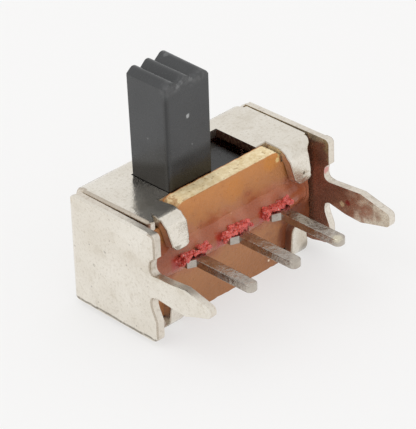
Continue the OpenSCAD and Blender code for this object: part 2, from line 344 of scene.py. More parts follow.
def bump(tree, height, distance_mm, strength=1.0):
    """A bump from a height that runs 0 to 1, worth this many millimetres."""
    node = put(tree, "ShaderNodeBump",
               {"Height": height, "Distance": distance_mm / 1000, "Strength": strength})
    return node.outputs[0]


# %% [markdown]
# ### Plated steel
# The frame is steel sheet with a warm, pale nickel plate: nearly a mirror, but grainy like the
# peel of an orange, with faint clouds, fine scratches from handling, small dark pits and a few
# tan stains. A metal takes nearly all its look from what it mirrors, so roughness matters most.
# Inside the folds the same plate is painted a darker brown: a painted reflection of the board
# and painted shade between the parts, painted lighter toward the plates' upper and front edges
# and the lugs' tips. The slot's punched walls are bare steel gone dark, with light crumbs of
# plate along them. All three are one recipe with other values.

# %% Plated steel, shaded inner steel and bare steel
def steel(name, light, dark, stain, stain_share, rough_low, rough_high, pit_share, metal=1.0,
          lit_tip=None, marks=()):
    material, tree, shader = new_finish(name, Metallic=metal)
    place = use(tree, mm_group)
    clouds = use(tree, cloud_group, Place=place, Size=1.3, Contrast=2.2, Seed=3.0)
    mottle = use(tree, cloud_group, Place=place, Size=0.45, Contrast=3.0, Seed=21.0)
    fine = use(tree, cloud_group, Place=place, Size=0.1, Contrast=1.6, Seed=8.0)
    smudge = spread(tree, use(tree, cloud_group, Place=place, Size=0.7, Contrast=3.5, Seed=31.0), 0.6, 1.0)
    stains = use(tree, speck_group, Place=place, Spacing=0.8, Radius=0.12, Share=stain_share, Seed=2.0)
    pits = use(tree, speck_group, Place=place, Spacing=0.26, Radius=0.042, Share=pit_share, Seed=5.0)
    scratch = use(tree, scratch_group, Place=place, Turn=(0.3, 0.5, 0.7), Density=1.4, Width=0.01)
    tone = mix_colour(tree, clouds, light, dark)
    # Inner skin only: painted light over the painted reflection, lighter toward the lugs' tips, along the
    # plates' upper edge and down their front edge near the top.
    if lit_tip:
        depth = put(tree, "ShaderNodeSeparateXYZ", {0: place}).outputs[1]
        uneven = maths(tree, "ADD", depth, spread(tree, mottle, 0.0, 1.0, -0.5, 0.5))
        tone = mix_colour(tree, spread(tree, uneven, -4.7, -3.3, 1.0, 0.0), tone,
                          mix_colour(tree, mottle, lit_tip, srgb(190, 176, 154)))
        level = put(tree, "ShaderNodeSeparateXYZ", {0: place}).outputs[2]
        lit_upper_edge = spread(tree, maths(tree, "ADD", level, spread(tree, mottle, 0.0, 1.0, -0.06, 0.06)), 4.12, 4.24)
        tone = mix_colour(tree, lit_upper_edge, tone, srgb(206, 190, 160))
        lit_front_edge = maths(tree, "MULTIPLY", spread(tree, level, 3.2, 3.5),
                      spread(tree, uneven, -2.42, -2.24, 0.7, 0.0))
        tone = mix_colour(tree, lit_front_edge, tone, srgb(172, 150, 112))
    tone = mix_colour(tree, spread(tree, fine, 0.45, 0.95, 0.0, 0.4), tone, stain)
    tone = mix_colour(tree, maths(tree, "MULTIPLY", smudge, 0.18), tone, stain)
    tone = mix_colour(tree, maths(tree, "MULTIPLY", stains, 0.3), tone, stain)
    tone = mix_colour(tree, maths(tree, "MULTIPLY", pits, 0.45), tone, srgb(96, 84, 70))
    # Both plates' outer faces: a thin dark line painted just above the lower edge, the painted shade of the
    # groove there, broken up by noise.
    if name == "plated_steel":
        across, depth, level = put(tree, "ShaderNodeSeparateXYZ", {0: place}).outputs
        wavy = maths(tree, "ADD", level, spread(tree, mottle, 0.0, 1.0, -0.02, 0.02))
        groove_shade = maths(tree, "MULTIPLY", spread(tree, wavy, 0.25, 0.28), spread(tree, wavy, 0.31, 0.36, 1.0, 0.0))
        groove_shade = maths(tree, "MULTIPLY", groove_shade, spread(tree, fine, 0.2, 0.5, 0.15, 0.75))
        groove_shade = maths(tree, "MULTIPLY", groove_shade, spread(tree, maths(tree, "ABSOLUTE", across), 4.0, 4.08))
        tone = mix_colour(tree, groove_shade, tone, dark_mark_and_groove_shade)
    tone = marked(tree, place, tone, marks)
    tree.links.new(tone, shader["Base Color"])
    rough = spread(tree, fine, 0.1, 0.9, rough_low, rough_high)
    faint = maths(tree, "MULTIPLY", scratch, 0.25)
    marks = maths(tree, "MULTIPLY", maths(tree, "ADD", faint, pits), 0.1)
    tree.links.new(maths(tree, "ADD", rough, marks), shader["Roughness"])
    height = maths(tree, "SUBTRACT", maths(tree, "MULTIPLY", fine, 0.8), maths(tree, "ADD", faint, pits))
    height = maths(tree, "ADD", height, maths(tree, "MULTIPLY", mottle, 1.5))
    tree.links.new(bump(tree, height, 0.0024), shader["Normal"])
    return material


# A dark brown for small dark marks and for the painted shade of the plates' lower groove.
dark_mark_and_groove_shade = srgb(78, 66, 50)
plated = steel("plated_steel", srgb(240, 235, 225), srgb(226, 219, 206), srgb(184, 170, 146), 0.4,
               0.12, 0.24, 0.45, metal=0.94,
               marks=[((3.1, -2.0, 3.29), 0.07, 0.8, dark_mark_and_groove_shade), ((3.02, -2.0, 3.15), 0.06, 0.8, dark_mark_and_groove_shade),
                      ((-4.12, 0.0, 2.69), 0.07, 0.35, dark_mark_and_groove_shade), ((-4.12, 0.57, 1.95), 0.08, 0.25, dark_mark_and_groove_shade),
                      ((-4.1, 1.6, 4.0), 0.15, 0.3, srgb(190, 164, 122)),
                      # The lower right tab is painted darker toward its bend: painted shade and a painted
                      # reflection of the floor's shadow.
                      ((3.25, -2.0, 0.75), 0.6, 0.35, srgb(168, 148, 120)),
                      ((3.3, -2.0, 0.2), 0.5, 0.55, srgb(120, 112, 100)),
                      ((2.72, -2.0, 1.28), 0.07, 0.7, dark_mark_and_groove_shade)])
# Inside of the folds: a brown that is a painted reflection of the board and painted shade, painted lighter
# toward the lugs' tips and the plates' upper and front edges.
shaded_inside = steel("shaded_inside_steel", srgb(186, 138, 116), srgb(140, 98, 80), srgb(96, 62, 46), 0.5,
                0.2, 0.36, 0.3, metal=0.75, lit_tip=srgb(236, 228, 210),
                marks=[((3.87, -3.23, 2.27), 0.13, 0.8, srgb(150, 34, 36)),
                       ((3.88, -2.98, 2.14), 0.13, 0.85, srgb(226, 208, 172))])
punched = steel("punched_edge", srgb(240, 234, 223), srgb(218, 208, 194), srgb(150, 132, 112), 0.3,
                0.3, 0.5, 0.3, marks=[((3.97, -2.24, 3.1), 0.18, 0.6, srgb(214, 104, 106)),
                         ((2.53, -1.9, 0.8), 0.7, 0.75, srgb(150, 88, 44))])
rolled = steel("rolled_edge", srgb(214, 204, 190), srgb(184, 172, 156), srgb(120, 100, 76), 0.4,
               0.2, 0.36, 0.3)
bare = steel("bare_steel", srgb(96, 54, 38), srgb(52, 26, 18), srgb(186, 164, 124), 0.4,
             0.4, 0.6, 0.3, metal=0.3)

# %% [markdown]
# ### Laminate
# The board is paper soaked in resin and pressed: an orange-brown sheet with a smooth, slightly
# glossy face and pale, fibrous edges where it was punched out. The varnish has tinted a band
# along the row of terminals pink. Light is painted into the face: lighter toward the top, with
# warm patches of painted sheen, darker toward the bottom, and painted shade at the lower right.
# One material does both face and edge: it turns to the edge's look by depth, because everything
# between the two faces is cut edge.

# %% Laminate
tone_group, entry, leave = new_group("laminate_tone", [("Place", "Vector", None)],
                                     [("Color", "Color")])
place = entry["Place"]
axes = put(tone_group, "ShaderNodeSeparateXYZ", {0: place}).outputs
clouds = use(tone_group, cloud_group, Place=place, Size=1.1, Contrast=2.0, Seed=1.0)
fine = use(tone_group, cloud_group, Place=place, Size=0.5, Contrast=2.0, Seed=4.0)
height = maths(tone_group, "ADD", axes[2], spread(tone_group, fine, 0.0, 1.0, -0.2, 0.2))
# The face is painted lighter toward the top and darker toward the bottom, for how light falls on it.
face = mix_colour(tone_group, spread(tone_group, height, 0.2, 2.0), srgb(158, 103, 58),
                  srgb(182, 122, 74))
face = mix_colour(tone_group, spread(tone_group, height, 3.1, 4.2), face, srgb(200, 132, 70))
face = mix_colour(tone_group, maths(tone_group, "MULTIPLY", clouds, 0.35), face, srgb(176, 112, 66))
row_mid = (blade_low.z + blade_high.z) / 2
from_row = maths(tone_group, "ABSOLUTE", maths(tone_group, "SUBTRACT", height, row_mid + 0.1))
band = spread(tone_group, from_row, 0.3, 1.0, 0.75, 0.0)
face = mix_colour(tone_group, band, face, srgb(184, 110, 84))
between = maths(tone_group, "COSINE", maths(tone_group, "MULTIPLY", axes[0], math.pi))
amber = maths(tone_group, "MULTIPLY", spread(tone_group, between, 0.3, -1.0),
              spread(tone_group, from_row, 0.5, 1.1, 0.8, 0.0))
face = mix_colour(tone_group, amber, face, srgb(152, 76, 36))
shade = maths(tone_group, "MULTIPLY", spread(tone_group, maths(tone_group, "ADD", axes[0], fine), 2.1, 3.1),
              spread(tone_group, height, 1.7, 2.3, 0.8, 0.0))
face = mix_colour(tone_group, shade, face, srgb(98, 34, 6))
# The first two marks are warm painted sheen near the top of the face; the others are light flecks.
face = marked(tone_group, place, face, [((2.0, -1.6, 4.1), 0.5, 0.5, srgb(206, 132, 40)),
                                        ((0.2, -1.6, 3.75), 0.6, 0.3, srgb(206, 132, 52)),
                                        ((2.27, -1.6, 4.0), 0.13, 0.85, srgb(230, 204, 142)),
                                        ((2.34, -1.6, 4.17), 0.1, 0.8, srgb(206, 176, 112)),
                                        ((1.74, -1.6, 0.33), 0.06, 0.9, srgb(246, 226, 200))])
tone_group.links.new(face, leave["Color"])

laminate, tree, shader = new_finish("laminate")
place = use(tree, mm_group)
depth = put(tree, "ShaderNodeSeparateXYZ", {0: place}).outputs[1]
fine = use(tree, cloud_group, Place=place, Size=0.14, Contrast=3.0, Seed=4.0)
grit = use(tree, speck_group, Place=place, Spacing=0.13, Radius=0.045, Share=0.5, Seed=11.0)
edge = mix_colour(tree, fine, srgb(250, 232, 192), srgb(222, 196, 146))
edge = mix_colour(tree, maths(tree, "MULTIPLY", grit, 0.7), edge, srgb(186, 150, 100))
across = put(tree, "ShaderNodeSeparateXYZ", {0: place}).outputs[0]
torn = spread(tree, maths(tree, "ADD", across, spread(tree, fine, 0.0, 1.0, -0.3, 0.3)), -2.3, -1.9, 0.75, 0.0)
edge = mix_colour(tree, torn, edge, srgb(166, 112, 52))
on_edge = maths(tree, "MULTIPLY", spread(tree, depth, board_low.y + 0.015, board_low.y + 0.06),
                spread(tree, depth, board_high.y - 0.06, board_high.y - 0.015, 1.0, 0.0))
tone = mix_colour(tree, on_edge, use(tree, tone_group, Place=place), edge)
tree.links.new(tone, shader["Base Color"])
tree.links.new(spread(tree, on_edge, 0.0, 1.0, 0.34, 0.8), shader["Roughness"])
tree.links.new(bump(tree, maths(tree, "ADD", fine, grit), 0.013), shader["Normal"])

# %% [markdown]
# ### Tinned terminals
# The terminals are punched strip with a dull tin coat: grey, a little brown, scuffed lengthwise.
# Their pins are painted lighter toward the tips, a painted reflection that is darker near the board.

# %% Tin
tin, tree, shader = new_finish("tinned_terminal", Metallic=1.0)
place = use(tree, mm_group)
clouds = use(tree, cloud_group, Place=place, Size=0.5, Contrast=2.2, Seed=6.0)
scuff = use(tree, scratch_group, Place=place, Turn=(0.0, 0.0, 1.57), Density=3.0, Width=0.03)
tone = mix_colour(tree, clouds, srgb(158, 149, 140), srgb(196, 189, 181))
tone = mix_colour(tree, maths(tree, "MULTIPLY", scuff, 0.15), tone, srgb(120, 108, 98))
smears = use(tree, cloud_group, Place=place, Size=0.16, Contrast=3.0, Seed=33.0)
tone = mix_colour(tree, spread(tree, smears, 0.5, 1.0, 0.0, 0.4), tone, srgb(128, 112, 100))
# Painted reflection: the pins are painted lighter toward their tips; the first mark below is a painted highlight
# on the right pin's tip.
depth = put(tree, "ShaderNodeSeparateXYZ", {0: place}).outputs[1]
lit_toward_tip = maths(tree, "ADD", depth, spread(tree, smears, 0.0, 1.0, -0.2, 0.2))
tone = mix_colour(tree, spread(tree, lit_toward_tip, -4.8, -4.2, 0.3, 0.0), tone, srgb(214, 206, 190))
tone = marked(tree, place, tone, [((1.8, -4.72, 2.49), 0.22, 0.7, srgb(232, 224, 200)),
                                  ((1.55, -2.05, 2.4), 0.1, 0.5, srgb(222, 190, 186))])
tree.links.new(tone, shader["Base Color"])
tree.links.new(spread(tree, clouds, 0.0, 1.0, 0.14, 0.3), shader["Roughness"])
tree.links.new(bump(tree, smears, -0.006), shader["Normal"])

# %% [markdown]
# ### Black plastic
# The slide is a satin black moulding. It is really a dark grey: light specks of dust lie on it,
# and a faint cloudiness breaks its sheen. Low on the knob it is painted near black, a painted
# dark reflection.

# %% Black plastic
plastic, tree, shader = new_finish("black_plastic", Roughness=0.3)
place = use(tree, mm_group)
clouds = use(tree, cloud_group, Place=place, Size=0.8, Contrast=1.6, Seed=9.0)
fine = use(tree, cloud_group, Place=place, Size=0.09, Contrast=1.4, Seed=2.0)
tone = mix_colour(tree, clouds, srgb(52, 53, 54), srgb(62, 63, 64))
axes = put(tree, "ShaderNodeSeparateXYZ", {0: place}).outputs
# Painted dark reflection: the knob's lower part is painted near black, with a soft, sloping edge.
drift = maths(tree, "ADD", axes[2], maths(tree, "MULTIPLY", axes[1], 0.35))
dark_reflection_low = spread(tree, drift, 4.85, 5.3, 1.0, 0.0)
tone = mix_colour(tree, dark_reflection_low, tone, srgb(10, 7, 6))
# A thin dark line is painted down the knob's left front edge.
corner = maths(tree, "ADD", maths(tree, "ADD", axes[0], 1.98), maths(tree, "ADD", axes[1], 0.87))
corner = maths(tree, "ADD", corner, spread(tree, axes[2], 4.0, 8.0, 0.0, 0.13))
dark_edge_line = maths(tree, "MULTIPLY", spread(tree, corner, 0.09, 0.2, 0.7, 0.0),
             maths(tree, "MULTIPLY", spread(tree, axes[2], 4.0, 4.1), spread(tree, axes[2], 7.6, 7.8, 1.0, 0.0)))
tone = mix_colour(tree, dark_edge_line, tone, srgb(38, 38, 38))
scuffed = use(tree, cloud_group, Place=place, Size=0.2, Contrast=4.0, Seed=41.0)
at_front = maths(tree, "MULTIPLY", spread(tree, axes[1], -0.6, -0.8), spread(tree, axes[2], 7.75, 7.95))
tone = mix_colour(tree, maths(tree, "MULTIPLY", scuffed, maths(tree, "MULTIPLY", at_front, 0.14)), tone,
                  srgb(150, 150, 150))
chalk = srgb(205, 206, 206)
tone = marked(tree, place, tone, [
    ((-1.07, -0.9, 6.8), 0.1, 0.55, chalk), ((-2.03, 0.0, 6.0), 0.06, 0.2, chalk),
    ((-0.9, -0.89, 5.7), 0.05, 0.2, chalk), ((-1.5, -0.9, 8.05), 0.12, 0.13, chalk),
    ((-1.3, -0.9, 8.1), 0.1, 0.1, chalk), ((-0.9, -0.9, 8.1), 0.14, 0.1, chalk),
    ((-0.5, 0.6, 8.2), 0.12, 0.12, chalk), ((-1.75, -0.1, 8.15), 0.14, 0.12, chalk)])
dust = use(tree, speck_group, Place=place, Spacing=0.8, Radius=0.045, Share=0.35, Seed=3.0)
tone = mix_colour(tree, maths(tree, "MULTIPLY", dust, 0.5), tone, srgb(170, 170, 165))
tree.links.new(tone, shader["Base Color"])
tree.links.new(spread(tree, fine, 0.2, 0.8, 0.2, 0.3), shader["Roughness"])
tree.links.new(bump(tree, fine, 0.003), shader["Normal"])

# %% [markdown]
# ### Silvered bronze and red varnish
# The hidden contact clip is spring bronze with a silver flash. The varnish is a thick, glossy
# red lacquer, deeper in colour where it is thick.

# %% Bronze and varnish
bronze, tree, shader = new_finish("silvered_bronze", Metallic=1.0)
place = use(tree, mm_group)
clouds = use(tree, cloud_group, Place=place, Size=0.4, Contrast=2.0, Seed=7.0)
tree.links.new(mix_colour(tree, clouds, srgb(206, 186, 142), srgb(226, 215, 190)),
               shader["Base Color"])
tree.links.new(spread(tree, clouds, 0.0, 1.0, 0.22, 0.4), shader["Roughness"])
tree.links.new(bump(tree, clouds, 0.004), shader["Normal"])

varnish, tree, shader = new_finish("red_varnish", Roughness=0.1, Coat_Weight=1.0)
place = use(tree, mm_group)
clouds = use(tree, cloud_group, Place=place, Size=0.1, Contrast=3.2, Seed=12.0)
fine = use(tree, cloud_group, Place=place, Size=0.05, Contrast=2.4, Seed=5.0)
glints = use(tree, speck_group, Place=place, Spacing=0.09, Radius=0.03, Share=0.45, Seed=17.0)
tone = mix_colour(tree, clouds, srgb(176, 34, 30), srgb(240, 104, 90))
tone = mix_colour(tree, maths(tree, "MULTIPLY", glints, 0.8), tone, srgb(255, 196, 182))
tree.links.new(tone, shader["Base Color"])
tree.links.new(spread(tree, fine, 0.0, 1.0, 0.06, 0.2), shader["Roughness"])
tree.links.new(bump(tree, fine, 0.02), shader["Normal"])

sealing, tree, shader = new_finish("sealing_film", Roughness=0.25, Coat_Weight=0.3)
place = use(tree, mm_group)
clouds = use(tree, cloud_group, Place=place, Size=0.6, Contrast=2.0, Seed=14.0)
fine = use(tree, cloud_group, Place=place, Size=0.08, Contrast=1.6, Seed=15.0)
tone = use(tree, tone_group, Place=place)
tone = mix_colour(tree, maths(tree, "MULTIPLY", clouds, 0.15), tone, srgb(190, 96, 72))
axes = put(tree, "ShaderNodeSeparateXYZ", {0: place}).outputs
rows = maths(tree, "COSINE", maths(tree, "MULTIPLY", maths(tree, "ADD", axes[0], 0.66), math.pi))
level = maths(tree, "ABSOLUTE", maths(tree, "SUBTRACT", axes[2], 2.32))
stain = maths(tree, "MULTIPLY", spread(tree, rows, 0.65, 0.98), spread(tree, level, 0.12, 0.36, 0.8, 0.0))
stain = maths(tree, "MULTIPLY", stain, spread(tree, axes[0], 2.4, 2.8, 1.0, 0.0))
tone = mix_colour(tree, stain, tone, srgb(168, 34, 28))
bits = use(tree, speck_group, Place=place, Spacing=0.45, Radius=0.04, Share=0.3, Seed=16.0)
tone = mix_colour(tree, maths(tree, "MULTIPLY", bits, 0.6), tone, srgb(226, 170, 140))
tree.links.new(tone, shader["Base Color"])
tree.links.new(spread(tree, fine, 0.0, 1.0, 0.2, 0.36), shader["Roughness"])
tree.links.new(bump(tree, fine, 0.012), shader["Normal"])

# %% [markdown]
# ## The folded frame
# One blank of sheet steel is punched and folded: web at the back, two flanges, two end plates
# with lugs, and four tabs crimped over the board. It is modelled the way it is made. A flat
# sheet without thickness stands for the outer face of the blank: a plane is sliced, what the
# punch removes is deleted, and folds are spun from its edges. Only a quarter is drawn, then
# mirrored, because the switch is the same above and below, left and right, up to its plates.

# %% Sizes of the folded sheet
sheet_t = 0.3
bend = 0.45
top_z, back_y, mid_z = frame_high.z, frame_high.y, frame_high.z / 2
fold_y, fold_z, fold_x = back_y - bend, top_z - bend, 3.65
front_y = -2.4
tab_fold_y = board_low.y + 0.15
flange_x, step_x, tab_out_x, tab_in_x, slot_x = 3.75, 3.60, 3.35, 2.43, 2.0
row_z = (blade_low.z + blade_high.z) / 2


def near(a, b):
    return abs(a - b) < 0.002


# %% A quarter of the channel: flange, fold, half of the web
bpy.ops.object.select_all(action="DESELECT")
bpy.ops.mesh.primitive_plane_add(size=1, location=(flange_x / 2, (fold_y - 1.75) / 2, top_z),
                                 scale=(1, 1, 1))
folded = bpy.context.object
folded.name = folded.data.name = "folded_frame"
folded.scale = (flange_x, fold_y + 1.75, 1)
bpy.ops.object.transform_apply(location=True, rotation=True, scale=True)
edit(folded)
for x in (slot_x, tab_in_x, tab_out_x, step_x):
    slice_at((x, 0, 0), (1, 0, 0))
for y in (1.35, 0.9, 0.3, -0.3, -0.9, tab_fold_y):
    slice_at((0, y, 0), (0, 1, 0))
pick(lambda c, n: (c.x < tab_in_x and c.y < -0.9) or (c.x > step_x and c.y > 1.35)
     or (tab_in_x < c.x < tab_out_x and c.y < tab_fold_y))
bpy.ops.mesh.delete(type="FACE")
bpy.ops.mesh.select_mode(type="EDGE")
pick(lambda c, d: near(c.x, step_x) and c.y < 1.35 and abs(d.y) > 0.9, "edges")
bpy.ops.mesh.dissolve_edges(use_verts=True)
for y in (0.9, 0.3, -0.3, -0.9, tab_fold_y, -1.75):
    pick(lambda c, n: near(c.x, flange_x) and near(c.y, y), "verts")
    bpy.ops.transform.translate(value=(-0.08 * (1.35 - y) / 3.1, 0, 0))
bpy.ops.mesh.select_mode(type="VERT")
pick(lambda c, n: near(c.x, tab_out_x) and near(c.y, -1.75), "verts")
bpy.ops.transform.translate(value=(0.12, 0, 0))
pick(lambda c, n: c.x > 3.6 and near(c.y, -1.75), "verts")
bpy.ops.mesh.bevel(offset=0.14, segments=4, affect="VERTICES")

bpy.ops.mesh.select_mode(type="EDGE")
pick(lambda c, d: near(c.y, fold_y) and abs(d.x) > 0.9, "edges")
bpy.ops.mesh.spin(steps=6, angle=math.pi / 2, center=(0, fold_y, fold_z), axis=(1, 0, 0))
bpy.ops.mesh.extrude_region_move()
bpy.ops.transform.translate(value=(0, 0, mid_z - fold_z))

# %% The crimp tab, spun forward over the board and drawn down to a round tip
pick(lambda c, d: near(c.y, tab_fold_y) and near(c.z, top_z) and tab_in_x < c.x < tab_out_x
     and abs(d.x) > 0.9, "edges")
bpy.ops.mesh.spin(steps=6, angle=-math.pi / 2, center=(0, tab_fold_y, fold_z), axis=(1, 0, 0))
tab_x = (tab_in_x + tab_out_x) / 2
for drop, width in ((0.3, 0.94), (0.3, 0.92), (0.3, 0.9)):
    bpy.ops.mesh.extrude_region_move()
    bpy.ops.transform.translate(value=(0, 0, -drop))
    bpy.ops.transform.resize(value=(width, 1, 1), center_override=(tab_x, 0, 0))
bpy.ops.mesh.select_mode(type="VERT")
pick(lambda c, n: c.z < 3.0 and c.y < -1.8, "verts")
bpy.ops.mesh.bevel(offset=0.26, segments=6, affect="VERTICES")
bpy.ops.mesh.select_all(action="SELECT")
bpy.ops.mesh.remove_doubles(threshold=0.001)
print("quarter of the channel:", len(bmesh.from_edit_mesh(folded.data).faces), "faces")

# %% Mirrored down; then the end plate is spun from the web's edge
bpy.ops.object.mode_set(mode="OBJECT")
folded.data.transform(Matrix.Translation((0, 0, -mid_z)))
apply_modifier(folded, "MIRROR", use_axis=(False, False, True), merge_threshold=0.001)
folded.data.transform(Matrix.Translation((0, 0, mid_z)))
edit(folded, "EDGE")
pick(lambda c, d: near(c.z, mid_z) and abs(d.z) < 0.1, "edges")
bpy.ops.mesh.dissolve_edges(use_verts=True)
pick(lambda c, d: near(c.x, step_x) and near(c.y, back_y) and abs(d.z) > 0.9, "edges")
bpy.ops.mesh.extrude_region_move()
bpy.ops.transform.translate(value=(fold_x - step_x, 0, 0))
bpy.ops.mesh.spin(steps=6, angle=math.pi / 2, center=(fold_x, fold_y, 0), axis=(0, 0, 1))
for y, out in ((0.4, 0.018), (-0.6, 0.036), (-1.6, 0.053), (front_y + 0.36, 0.062), (front_y, 0.068)):
    here = max(v.co.x for v in bmesh.from_edit_mesh(folded.data).verts if v.select)
    y_now = min(v.co.y for v in bmesh.from_edit_mesh(folded.data).verts if v.select)
    bpy.ops.mesh.extrude_region_move()
    bpy.ops.transform.translate(value=(fold_x + bend + out - here, y - y_now, 0))

# %% [markdown]
# The plate's upper and lower edges follow the round of the channel's back corners, so each
# column of points on the fold stops a little lower than the next. The punch also bit two
# notches into the plate's front edge, above and below the lug; here the front edge is sliced
# into rows and the rows are pulled back one by one.

# %% The plate's upper and lower edge, and its notches
for side, level, edge_z in ((1, fold_z, top_z), (-1, bend, 0.2)):
    pick(lambda c, d: near(c.z, level) and c.x > fold_x and c.y < back_y - 0.001
         and abs(d.z) < 0.1, "edges")
    bpy.ops.mesh.extrude_region_move()
    bpy.ops.transform.translate(value=(0, 0, edge_z - level))
    for k in range(6):
        turn = math.radians(15 * k)
        stop = level + side * min(0.85 * bend * math.sin(turn), abs(edge_z - level))
        pick(lambda c, n: near(c.z, edge_z) and c.x > fold_x - 0.01
             and near(c.y, fold_y + bend * math.cos(turn)), "verts")
        bpy.ops.transform.translate(value=(0, 0, stop - edge_z))
notches = ((1.95, 0), (1.93, 0.1), (1.86, 0.19), (1.72, 0.23), (1.55, 0.22), (1.4, 0.17),
           (1.25, 0.1), (1.1, 0.03), (1.0, 0),
           (2.75, 0), (2.77, 0.12), (2.85, 0.2), (2.95, 0.23), (3.1, 0.23), (3.25, 0.19),
           (3.35, 0.1), (3.42, 0))
for z, depth in notches:
    pick(lambda c, n: c.x > fold_x and n.z ** 2 < 0.5)
    bpy.ops.mesh.bisect(plane_co=(0, 0, z), plane_no=(0, 0, 1))
for z, depth in notches:
    pick(lambda c, n: near(c.z, z) and near(c.y, front_y), "verts")
    bpy.ops.transform.translate(value=(0, depth, 0))

# %% The lug, pulled out of the plate's front edge
bpy.ops.mesh.select_mode(type="EDGE")
pick(lambda c, d: near(c.y, front_y) and abs(c.z - row_z) < 0.35 and abs(d.z) > 0.9, "edges")
for reach, height in ((-0.7, 0.9 / 0.8), (-0.7, 1.0 / 0.9), (-0.64, 0.68), (-0.64, 0.56)):
    bpy.ops.mesh.extrude_region_move()
    bpy.ops.transform.translate(value=(0.012, reach, 0))
    bpy.ops.transform.resize(value=(1, 1, height), center_override=(0, 0, row_z))
bpy.ops.mesh.select_mode(type="VERT")
pick(lambda c, n: c.y < -5, "verts")
bpy.ops.mesh.bevel(offset=0.14, segments=4, affect="VERTICES")
for z, radius in ((top_z, 0.18), (0.2, 0.3)):
    pick(lambda c, n: near(c.y, front_y) and near(c.z, z), "verts")
    bpy.ops.mesh.bevel(offset=radius, segments=5, affect="VERTICES")

# %% Mirrored left to right, and the slot opened in the upper flange
bpy.ops.object.mode_set(mode="OBJECT")
apply_modifier(folded, "MIRROR", use_axis=(True, False, False), merge_threshold=0.001)
edit(folded)
pick(lambda c, n: abs(c.x) < slot_x and -0.9 < c.y < 0.9 and c.z > top_z - 0.01)
bpy.ops.mesh.delete(type="FACE")
bpy.ops.mesh.select_mode(type="VERT")
pick(lambda c, n: -1.9 < c.x < slot_x + 0.01 and near(c.y, 0.9) and c.z > top_z - 0.01, "verts")
bpy.ops.transform.translate(value=(0, 0.1, 0))
bpy.ops.mesh.select_mode(type="FACE")
print("folded sheet:", len(bmesh.from_edit_mesh(folded.data).faces), "faces")

# %% [markdown]
# No two folds come out of the press alike. One end plate stands a little higher than its
# flange and the other lower, the gap beside the left one widens to the front, the upper tabs
# were crimped leaning the same way, and the lugs have been bent by handling. Each error is a
# small shift of the points concerned.

# %% Press errors: plates and flange
def on_plate(c, side):
    """Whether a point belongs to the end plate on this side, or to its fold."""
    return side * c.x > 3.78 or (side * c.x > fold_x + 0.01 and c.y > fold_y)


bpy.ops.mesh.select_mode(type="VERT")
for side, lift in ((-1, -0.045), (1, 0.035)):
    pick(lambda c, n: c.z > 3.95 and on_plate(c, side), "verts")
    bpy.ops.transform.translate(value=(0, 0, lift))
pick(lambda c, n: c.z < 0.6 and c.x > 3.78 and c.y < -1.9, "verts")
bpy.ops.transform.translate(value=(0, 0, 0.1))
for side, lift in ((-1, -0.03), (1, 0.03)):
    pick(lambda c, n: c.z > 4.2 and 2.2 < side * c.x < 3.78 and not on_plate(c, side), "verts")
    bpy.ops.transform.translate(value=(0, 0, lift))
for side, at_back, at_front in ((-1, 0.0, -0.03), (1, 0.045, 0.13)):
    for k in range(7):
        y = 1.35 - 0.5 * k
        pick(lambda c, n: c.z > 4.2 and 3.5 < side * c.x < 3.78 and y - 0.49 < c.y < y + 0.01, "verts")
        bpy.ops.transform.translate(value=(at_back + (at_front - at_back) * k / 6, 0, 0))

pick(lambda c, n: c.x > tab_out_x and c.y < tab_fold_y and (c.z > 4.29 or c.z < 0.01), "faces")
bpy.ops.mesh.delete(type="FACE")
for k, wider in enumerate((0.34, 0.36, 0.33, 0.24, 0.11, 0.04)):
    y = tab_fold_y - bend * math.sin(math.radians(15 * k))
    pick(lambda c, n: near(c.x, tab_out_x) and near(c.y, y) and c.z > 3.9, "verts")
    bpy.ops.transform.translate(value=(wider, 0, 0))
pick(lambda c, n: c.x > tab_out_x + 0.36 and near(c.y, tab_fold_y) and c.z > 4.2, "verts")
bpy.ops.mesh.bevel(offset=0.05, segments=3, affect="VERTICES")

# %% Press errors: tabs and lugs
for side, root, lean in ((-1, 0.09, 0.23), (1, -0.02, 0.23)):
    pick(lambda c, n: c.z > 2.8 and 2.3 < side * c.x < 3.4 and c.y < tab_fold_y + 0.01, "verts")
    bpy.ops.transform.translate(value=(root, 0, 0))
    for z in (4.2, 4.0, 3.86, 3.6, 3.3, 3.1):
        pick(lambda c, n: 2.8 < c.z < z and 2.2 < side * c.x < 3.6 and c.y < tab_fold_y - 0.01, "verts")
        bpy.ops.transform.translate(value=(lean / 6, -0.035 if z < 3.9 else 0, 0))
for reach, inward, shorter in ((-4.9, 0.03, 0.1), (-4.3, 0.03, 0.08), (-3.7, 0.03, 0.07)):
    pick(lambda c, n: c.x < -3.7 and c.y < reach, "verts")
    bpy.ops.transform.translate(value=(inward, shorter, 0))
pick(lambda c, n: c.x < -3.7 and c.y < -4.2 and c.z < row_z, "verts")
bpy.ops.transform.translate(value=(0, 0, 0.04))
pick(lambda c, n: c.x > 3.7 and c.y < -2.9 and c.z < row_z, "verts")
bpy.ops.transform.translate(value=(0, 0, -0.1))
for z in (0.7, 1.0, 1.2):
    pick(lambda c, n: -3.5 < c.x < -2.3 and z < c.z < 1.5 and c.y < -1.8, "verts")
    bpy.ops.transform.translate(value=(0, 0, -0.12))
for side, hold, width in ((1, 3.3, 0.88), (-1, -2.43, 0.76)):
    pick(lambda c, n: 2.3 < side * c.x < 3.5 and 0.1 < c.z < 1.5 and c.y < -1.7, "verts")
    bpy.ops.transform.resize(value=(width, 1, 1), center_override=(hold, 0, 0))

# %% [markdown]
# Now the sheet gets its thickness, inward from the face that was drawn. The solidify step gives
# the inner skin and the punched edges their own finishes: inside the folds the plate is painted
# brown, a painted reflection of the board and painted shade, and the slot's walls are bare,
# dark steel. A punch also rounds the edge that it enters, which shows as a soft band along the
# sides of the upper flange; every other edge is nearly sharp.

